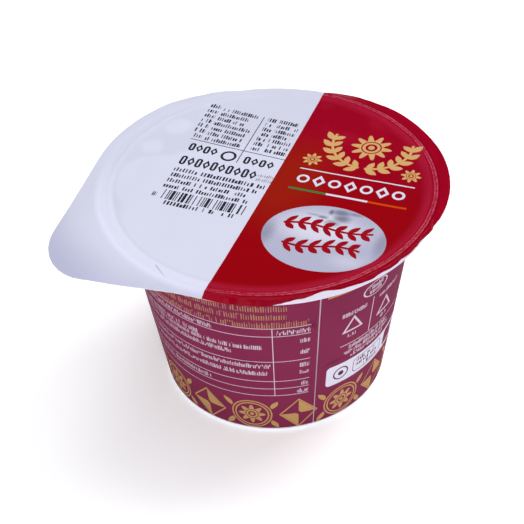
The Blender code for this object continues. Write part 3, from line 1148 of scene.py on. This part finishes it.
def badge_sprig(start_u, start_v, length, sway):
    """A wavy leafy stem that starts at a place on the badge."""
    x, y = u - start_u, v - start_v
    along = x * math.cos(SPRIG_RISE) + y * math.sin(SPRIG_RISE)
    across = y * math.cos(SPRIG_RISE) - x * math.sin(SPRIG_RISE)
    across = across - (along * (math.tau / length)).sine() * sway
    return sprig(along, across, 0.3, length, 3.5, 4.2, 1.7, 0.42)


badge_red = badge_sprig(9.4, -15.0, 25.0, 0.9) | badge_sprig(11.6, -22.8, 21.4, -0.8)
print("badge:", len(print_film.tree.nodes), "nodes so far")

# %% [markdown]
# ## Film colour and gloss
#
# The inks are laid one over the other in the order of the real print. Light and shade are also
# painted into the white ground: painted pools of light near the rim's inner edge, a painted lit
# band on the rim towards the front left, and painted shade on the tab and in a small crease. On
# the red, painted sheen lightens the rim's shoulder, the weld and a patch at the back, turns the
# free edge a cooler crimson and streaks it, breaks into painted glints along the two weld
# ridges, and a painted shade line follows the fold. `round_noise` draws such marks out round
# the rim, because its space turns with the rim's own direction.
#
# The gloss is a thin clear coat over matt ink. A coat's mirror never grows past its own
# weight, so the film stays deep red even where it is seen nearly edge on. The finest beads of
# the weld are too small for the mesh and are left to a bump.

# %% Film colour and surface
where = print_film.add("TexCoord", output="Object")
mottle = print_film.noise(where, 40.0, 3.0)
flat_out = (sheet_x * sheet_x + sheet_y * sheet_y).root()
on_rim = flat_out.soft(42.8, 44.4) * flat_out.soft(49.4, 47.4)
shoulder = flat_out.soft(41.8, 44.8) * flat_out.soft(45.9, 45.0)
free_edge = flat_out.soft(46.6, 47.4)
round_x, round_y = sheet_x / flat_out, sheet_y / flat_out


def round_noise(crests, rings, detail=2.0):
    """Cloudy numbers drawn out round the rim: crests round it, rings across each mm."""
    reach = crests / math.tau
    sockets = {0: round_x * reach, 1: round_y * reach, 2: flat_out * rings}
    return print_film.noise(print_film.add("CombineXYZ", {}, sockets), 1.0, detail)


streaks = round_noise(34.0, 2.4)
flecks = round_noise(300.0, 2.0)
pressed_front = (round_x * 0.80 - round_y * 0.60).soft(-0.5, 0.45)
ridge_out = flat_out + 0.3 * (round_y * -1.0).soft(0.6, 0.95)
ridge_lines = abs(ridge_out - 46.1).soft(0.34, 0.04) | abs(ridge_out - 46.8).soft(0.36, 0.04)
# painted glints: broken pale pink flecks along the two weld ridges, strongest towards the front
painted_ridge_glints = ridge_lines * flecks.soft(0.26, 0.68) * (0.3 + 0.7 * pressed_front)
welded = ridge_out.soft(45.7, 46.1) * ridge_out.soft(47.2, 46.8)
# painted shade: a thin dark line where the film folds over the rim's edge, strongest in front
painted_fold_shade = abs(flat_out - 47.3).soft(0.45, 0.05) * pressed_front
# painted light: soft pools of light on the white film inside the rim
painted_light_pools = disc(sheet_x, sheet_y, (-14.0, -8.0), 30.0, 33.0).soft(1.10, 0.98)
painted_light_pools = painted_light_pools | disc(sheet_x, sheet_y, (-26.0, 14.0), 13.0, 15.5).soft(1.10, 0.92)
painted_light_pools = painted_light_pools | disc(sheet_x, sheet_y, (-20.7, 33.0), 3.7, 3.7).soft(1.15, 0.6)
painted_light_pools = painted_light_pools | disc(sheet_x, sheet_y, (-10.0, 38.0), 4.7, 4.0).soft(1.15, 0.6)
# painted shade: the tab darkens and turns bluer towards its tip and lower edge
tab_shade = (flat_out - 0.2 * sheet_y).soft(49.0, 64.0)
# painted light: the white film on the rim is lighter towards the front left
front_left = (sheet_x * -0.8 - sheet_y * 0.6).soft(0.0, 34.0)
# painted light and shade on the white film, with random mottle: light pools, a lighter rim band and
# free edge, a darker tab and a dark crease
painted_shading_and_mottle = 0.925 + 0.07 * painted_light_pools * flat_out.soft(43.6, 42.2)
painted_shading_and_mottle = painted_shading_and_mottle + on_rim * (0.02 + 0.12 * front_left) + 0.05 * free_edge
painted_shading_and_mottle = painted_shading_and_mottle - 0.22 * tab_shade + (mottle - 0.5) * 0.08
# painted shade: a thin dark dash in a small crease beside the tab
crease_along = (sheet_y + 16.2) * -1.0
crease_across = abs(sheet_x + 41.75 - crease_along * 0.02)
painted_crease_shade = (crease_across < 0.17) & (crease_along > 0.0) & crease_along.soft(7.2, 1.0)
painted_shading_and_mottle = painted_shading_and_mottle - 0.38 * painted_crease_shade
white_ground = print_film.over(tab_shade, FILM_WHITE, (0.585, 0.590, 0.785, 1.0))
white_ground = print_film.shade(white_ground, painted_shading_and_mottle)
# painted sheen: the red turns a cooler crimson towards the back right and on the free edge
crimson_sheen = (sheet_x * 0.9 + sheet_y * 0.44).soft(8.0, 30.0) | free_edge
red_ground = print_film.over(crimson_sheen, RED, CRIMSON)
warmer = disc(u, v, (5.0, 2.0), 13.0, 24.0).soft(1.2, 0.2)
red_ground = print_film.over(warmer, red_ground, (0.270, 0.009, 0.0035, 1.0))
# painted sheen: the red is lighter over the rim's shoulder and the weld, in streaks, and in cloudy
# patches at the back
painted_sheen = shoulder * (0.30 + streaks * 0.8) | welded * (0.1 + streaks * 0.9)
cloud = print_film.noise(where, 75.0, 1.0).soft(0.44, 0.66)
painted_sheen = painted_sheen | cloud * disc(u, v, (9.0, 34.0), 17.0, 12.0).soft(1.2, 0.4) * 0.6
red_ground = print_film.over(painted_sheen, red_ground, SHEEN_RED)
red_ground = print_film.over(painted_ridge_glints * 0.42, red_ground, (0.62, 0.17, 0.28, 1.0))
# random mottle and faint streaks everywhere, stronger painted light-and-shade streaks on the folded
# free edge, and painted shade along the fold
mottle_and_painted_shading = mottle * 0.2 + 0.9 + (streaks - 0.5) * (0.10 + 0.45 * free_edge) - 0.2 * painted_fold_shade
red_ground = print_film.shade(red_ground, mottle_and_painted_shading)
ground = print_film.over(red_side, white_ground, red_ground)
colour = print_film.over(black, ground, BLACK_INK)
colour = print_film.over(faint, colour, (0.30, 0.30, 0.36, 1.0))
colour = print_film.over(film_gold, colour, (0.56, 0.33, 0.13, 1.0))
colour = print_film.over(white_print, colour, FILM_WHITE)
colour = print_film.over(rule & u.between(5.9, 16.8), colour, (0.018, 0.17, 0.042, 1.0))
colour = print_film.over(rule & u.between(28.7, 39.7), colour, (0.50, 0.052, 0.003, 1.0))
badge_colour = print_film.over(badge_light, (0.40, 0.40, 0.53, 1.0), (0.60, 0.59, 0.70, 1.0))
badge_colour = print_film.shade(badge_colour, ribs * 0.09 + 0.98)
badge_colour = print_film.over(badge_fold * 0.95, badge_colour, (0.12, 0.12, 0.19, 1.0))
badge_colour = print_film.over(badge_red, badge_colour, (0.28, 0.003, 0.010, 1.0))
colour = print_film.over(badge_out < 1.0, colour, badge_colour)
print_film.use("Base Color", colour)

weld = flat_out.soft(43.2, 44.4) * flat_out.soft(47.6, 46.9)
scuff = print_film.noise(where, 160.0, 4.0)
print_film.use("Roughness", mottle * 0.10 + weld * 0.14 + scuff * 0.08 + 0.06)
print_film.use("Coat Weight", 0.17 - 0.09 * free_edge - 0.04 * weld + scuff * 0.04)
beads = print_film.noise(where, 1100.0, 1.0) * weld
waves = print_film.noise(where, 90.0, 2.0)
print_film.bump(beads * 0.3 + waves * 0.5, 0.12)
print("film print:", len(print_film.tree.nodes), "nodes")

# %% Film back
back_film = Paint("film_back", IOR=1.5)
where = back_film.add("TexCoord", output="Object")
haze = back_film.noise(where, 80.0, 3.0)
back_film.use("Base Color", back_film.over(haze, (0.66, 0.67, 0.74, 1.0), (0.78, 0.79, 0.85, 1.0)))
back_film.use("Roughness", haze * 0.2 + 0.22)
back_film.bump(haze, 0.1)
film.data.materials.append(print_film.material)
film.data.materials.append(back_film.material)
start_alone()
film.select_set(True)
bpy.context.view_layer.objects.active = film
bpy.ops.object.modifier_apply(modifier="skin")
bpy.ops.object.shade_smooth_by_angle(angle=math.radians(60))
print("film:", len(film.data.polygons), "faces")

# %% [markdown]
# ## Join the frame
#
# The row has one body, so all three pieces ride on it. Each one stands for one part of the
# frame, which is then hidden.

# %% Ride and replace
for piece, node, slot in (
    (pot, "tub", "tub_plastic"),
    (label, "label_wrap", "label_print"),
    (film, "film_lid", "film_print"),
):
    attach(piece, "root")
    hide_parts(node)
    print(piece.name, "stands for", node)
